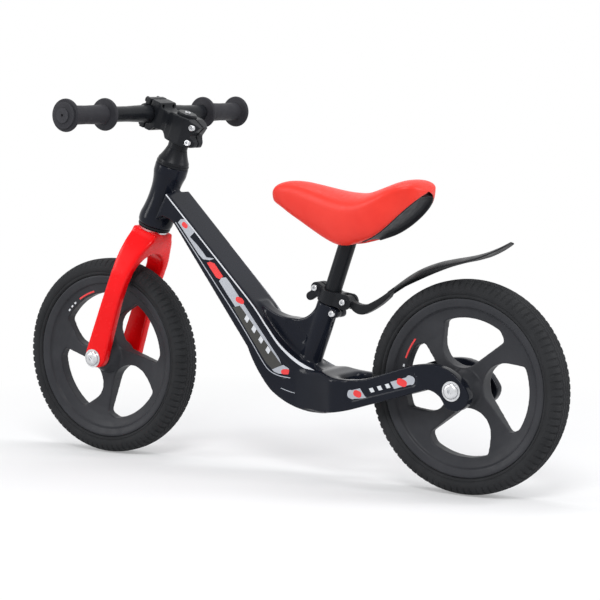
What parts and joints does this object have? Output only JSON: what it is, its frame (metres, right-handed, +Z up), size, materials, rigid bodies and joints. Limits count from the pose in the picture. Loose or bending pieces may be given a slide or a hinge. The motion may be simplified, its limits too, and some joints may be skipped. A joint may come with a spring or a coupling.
{
  "type": "balance bike",
  "caption": "Child's pedal-less balance bike with cast frame, steered fork, foam-tyred spoked wheels, sliding saddle post and short mudguard.",
  "frame": {"origin": "on the ground, half-way between the axles, in the wheels' middle plane", "axes": "+X forwards, +Y to the rider's left, +Z up"},
  "size_m": [0.895, 0.424, 0.5305],
  "materials": {
    "frame_black": "gloss",
    "fork_red": "gloss",
    "saddle_cover": "satin",
    "saddle_base": "matte",
    "foam_tyre": "matte",
    "wheel_plastic": "satin",
    "bolt_steel": "satin",
    "satin_black": "satin",
    "grip_rubber": "matte",
    "mudguard_plastic": "satin"
  },
  "bodies": {
    "frame": {"main_frame": "frame_black", "upper_headset_cup": "bolt_steel", "lower_headset_cup": "bolt_steel", "upper_headset_balls": "bolt_steel", "lower_headset_balls": "bolt_steel", "post_collar": "satin_black", "clamp_skewer": "bolt_steel", "mudguard_pivot_bolt": "bolt_steel", "binder_bolt": "bolt_steel", "rear_axle": "bolt_steel", "rear_axle_spacers": "bolt_steel", "rear_axle_washers": "bolt_steel", "rear_axle_bolts": "bolt_steel"},
    "steering": {"fork": "fork_red", "steerer_tube": "bolt_steel", "crown_race": "bolt_steel", "upper_headset_cone": "bolt_steel", "headset_cover": "satin_black", "headset_spacer": "satin_black", "stem": "satin_black", "stem_faceplate": "satin_black", "stem_pinch_bolts": "bolt_steel", "faceplate_bolts": "satin_black", "top_cap": "satin_black", "top_cap_bolt": "bolt_steel", "star_nut": "bolt_steel", "handlebar": "satin_black", "left_grip": "grip_rubber", "right_grip": "grip_rubber", "front_axle": "bolt_steel", "front_axle_spacers": "bolt_steel", "front_axle_washers": "bolt_steel", "front_axle_bolts": "bolt_steel"},
    "front_wheel": {"front_tyre": "foam_tyre", "front_rim": "wheel_plastic", "front_bearing_left": "bolt_steel", "front_bearing_right": "bolt_steel"},
    "rear_wheel": {"rear_tyre": "foam_tyre", "rear_rim": "wheel_plastic", "rear_bearing_left": "bolt_steel", "rear_bearing_right": "bolt_steel"},
    "seat": {"seat_post": "satin_black", "seat_post_plug": "satin_black", "saddle_shell": "saddle_base", "saddle_cushion": "saddle_cover", "saddle_bolt": "bolt_steel"},
    "mudguard_body": {"mudguard_arm": "mudguard_plastic", "mudguard": "mudguard_plastic"},
    "lever": {"clamp_lever": "satin_black"}
  },
  "joints": [
    {"name": "steer", "type": "hinge", "parent": "frame", "child": "steering", "pos_m": [0.20639, 0, 0.38664], "axis": [-0.3502, 0, 0.9367], "range_deg": [-80, 80]},
    {"name": "front_wheel_spin", "type": "hinge", "parent": "steering", "child": "front_wheel", "pos_m": [0.3025, 0, 0.145], "axis": [0, 1, 0], "continuous": true},
    {"name": "rear_wheel_spin", "type": "hinge", "parent": "frame", "child": "rear_wheel", "pos_m": [-0.3025, 0, 0.145], "axis": [0, 1, 0], "continuous": true},
    {"name": "seat_height", "type": "slide", "parent": "frame", "child": "seat", "axis": [-0.3404, 0, 0.9403], "range_m": [-0.045, 0.035]},
    {"name": "mudguard_tilt", "type": "hinge", "parent": "frame", "child": "mudguard_body", "pos_m": [-0.11105, 0, 0.24869], "axis": [0, 1, 0], "range_deg": [-5, 12]},
    {"name": "clamp_lever_swing", "type": "hinge", "parent": "frame", "child": "lever", "pos_m": [-0.06549, -0.0159, 0.26678], "axis": [-0.5075, 0, -0.8616], "range_deg": [0, 110]}
  ]
}
